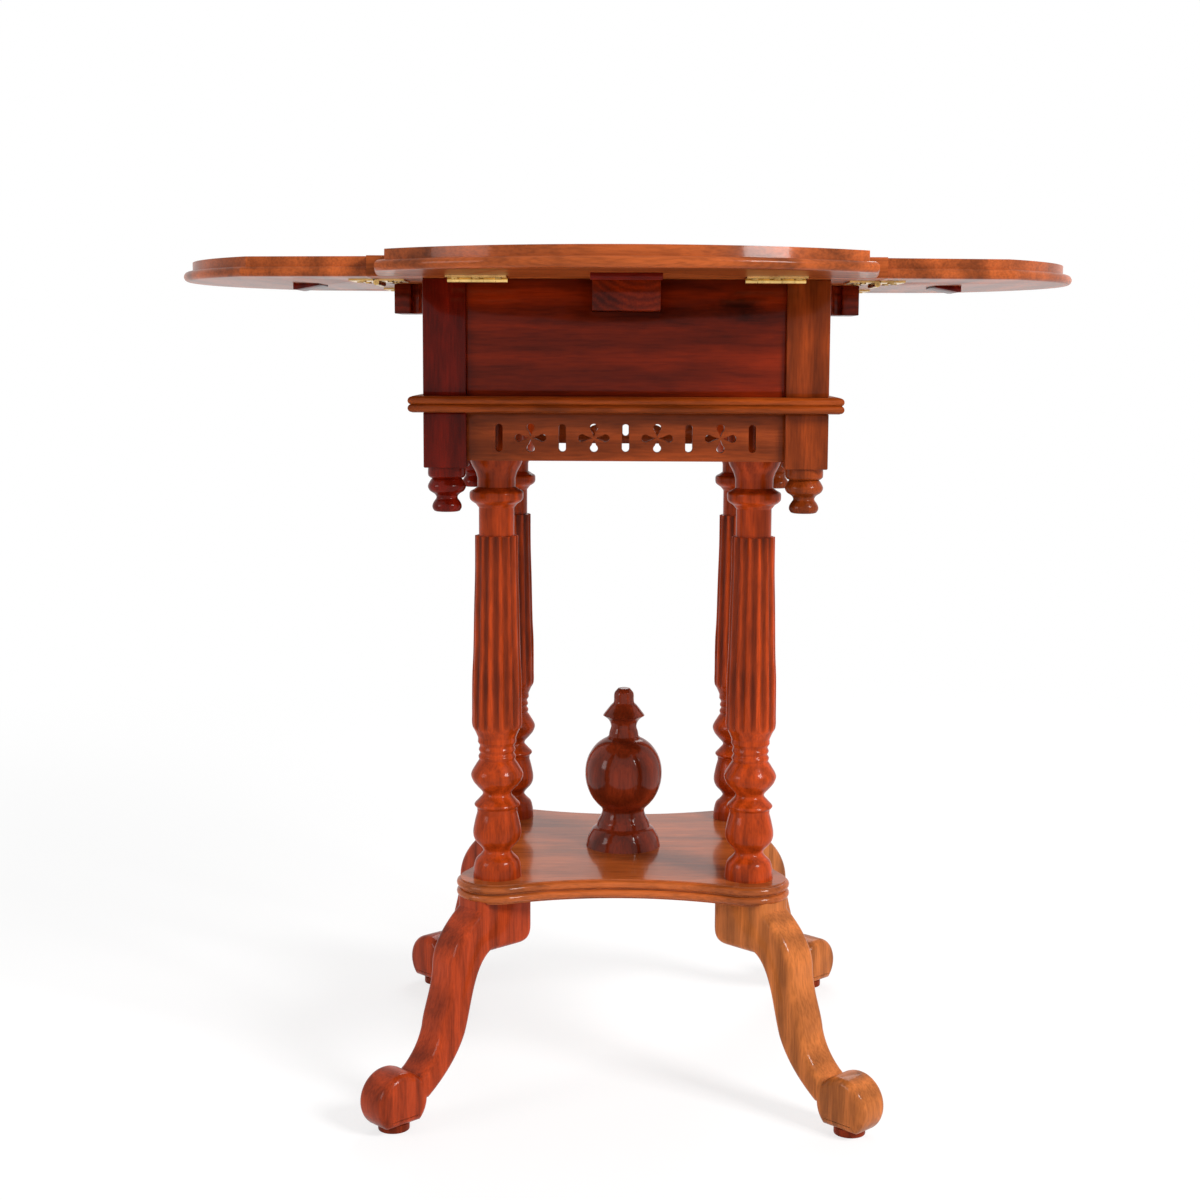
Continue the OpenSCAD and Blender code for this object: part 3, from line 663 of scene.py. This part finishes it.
class MakeStage(bpy.types.Operator):
    """Make the pale floor, the soft lights and the camera"""
    bl_idname = "chess_table.make_stage"
    bl_label = "Stage"

    def execute(self, context):
        half = sizes().stage_size / 2
        mesh = bpy.data.meshes.new("floor")
        bm = bmesh.new()
        bmesh.ops.create_grid(bm, x_segments=1, y_segments=1, size=half)
        bm.to_mesh(mesh)
        bm.free()
        floor = bpy.data.objects.new("floor", mesh)
        floor.location = (0, 0, -FLOOR_DROP)
        context.scene.collection.objects.link(floor)
        mat = bpy.data.materials.new("floor_white")
        mat.use_nodes = True
        tree = mat.node_tree
        skin = tree.nodes["Principled BSDF"]
        skin.inputs["Base Color"].default_value = (*colours().stage, 1)
        skin.inputs["Roughness"].default_value = 0.9
        pale = tree.nodes.new("ShaderNodeEmission")
        pale.inputs["Color"].default_value = (*colours().stage, 1)
        spot = tree.nodes.new("ShaderNodeTexCoord")
        reach = tree.nodes.new("ShaderNodeVectorMath")
        reach.operation = "LENGTH"
        link(tree, spot.outputs["Object"], reach.inputs[0])
        fade = tree.nodes.new("ShaderNodeMapRange")
        fade.inputs["From Min"].default_value, fade.inputs["From Max"].default_value = SHADOW_REACH
        fade.inputs["To Min"].default_value, fade.inputs["To Max"].default_value = SHADOW_HIDDEN
        link(tree, reach.outputs["Value"], fade.inputs["Value"])
        share = tree.nodes.new("ShaderNodeMath")
        share.operation = "MULTIPLY"
        link(tree, fade.outputs["Result"], share.inputs[0])
        link(tree, looked_at(tree), share.inputs[1])
        both = tree.nodes.new("ShaderNodeMixShader")
        link(tree, share.outputs["Value"], both.inputs["Fac"])
        link(tree, skin.outputs["BSDF"], both.inputs[1])
        link(tree, pale.outputs["Emission"], both.inputs[2])
        link(tree, both.outputs["Shader"], tree.nodes["Material Output"].inputs["Surface"])
        mesh.materials.append(mat)

        world = bpy.data.worlds.new("studio")
        world.use_nodes = True
        tree = world.node_tree
        tree.nodes.clear()
        out = tree.nodes.new("ShaderNodeOutputWorld")
        soft = tree.nodes.new("ShaderNodeBackground")
        soft.inputs["Color"].default_value = (1, 1, 1, 1)
        soft.inputs["Strength"].default_value = SOFT_LIGHT
        seen = tree.nodes.new("ShaderNodeBackground")
        seen.inputs["Color"].default_value = (*colours().stage, 1)
        seen.inputs["Strength"].default_value = 1.0
        pick = tree.nodes.new("ShaderNodeMixShader")
        link(tree, looked_at(tree), pick.inputs["Fac"])
        link(tree, soft.outputs["Background"], pick.inputs[1])
        link(tree, seen.outputs["Background"], pick.inputs[2])
        link(tree, pick.outputs["Shader"], out.inputs["Surface"])
        context.scene.world = world

        for name, place, power, size in LAMPS:
            lamp = bpy.data.lights.new(name, "AREA")
            lamp.energy = power
            lamp.size = size
            o = bpy.data.objects.new(name, lamp)
            o.location = place
            o.rotation_euler = (Vector(LAMPS_AIM) - Vector(place)).to_track_quat("-Z", "Y").to_euler()
            context.scene.collection.objects.link(o)

        lens = bpy.data.cameras.new("camera")
        lens.lens = CAMERA_LENS
        lens.sensor_width = 36.0
        lens.sensor_fit = "HORIZONTAL"
        lens.clip_end = 100.0
        camera = bpy.data.objects.new("camera", lens)
        turn = Matrix.Rotation(CAMERA_TURN, 4, "Z") @ Matrix.Rotation(math.pi / 2 - CAMERA_DOWN, 4, "X")
        camera.matrix_world = Matrix.Translation(CAMERA_AT) @ turn @ Matrix.Rotation(CAMERA_ROLL, 4, "Z")
        context.scene.collection.objects.link(camera)
        context.scene.camera = camera
        context.scene.view_settings.view_transform = "Standard"
        return {"FINISHED"}


class ChessTablePanel(bpy.types.Panel):
    """Buttons for each group of pieces"""
    bl_idname = "CHESSTABLE_PT_main"
    bl_label = "Chess table"
    bl_space_type = "VIEW_3D"
    bl_region_type = "UI"
    bl_category = "Chess table"

    def draw(self, context):
        for op in OPERATORS:
            self.layout.operator(op.bl_idname)
        for group in (context.scene.chess_table_sizes, context.scene.chess_table_colours):
            for name in group.bl_rna.properties.keys():
                if name not in ("rna_type", "name"):
                    self.layout.prop(group, name)


OPERATORS = (MakeTop, MakeHinges, MakeBox, MakeFrieze, MakeColumns, MakePlatform, MakeLegs, MakeStage)
CLASSES = (ChessTableSizes, ChessTableColours) + OPERATORS + (ChessTablePanel,)


def register():
    for c in CLASSES:
        bpy.utils.register_class(c)
    bpy.types.Scene.chess_table_sizes = bpy.props.PointerProperty(type=ChessTableSizes)
    bpy.types.Scene.chess_table_colours = bpy.props.PointerProperty(type=ChessTableColours)


def unregister():
    del bpy.types.Scene.chess_table_colours
    del bpy.types.Scene.chess_table_sizes
    for c in reversed(CLASSES):
        bpy.utils.unregister_class(c)


def main():
    register()
    bpy.ops.chess_table.make_top()
    bpy.ops.chess_table.make_hinges()
    bpy.ops.chess_table.make_box()
    bpy.ops.chess_table.make_frieze()
    bpy.ops.chess_table.make_columns()
    bpy.ops.chess_table.make_platform()
    bpy.ops.chess_table.make_legs()
    bpy.ops.chess_table.make_stage()
    bpy.context.view_layer.update()


if __name__ == "__main__":
    main()
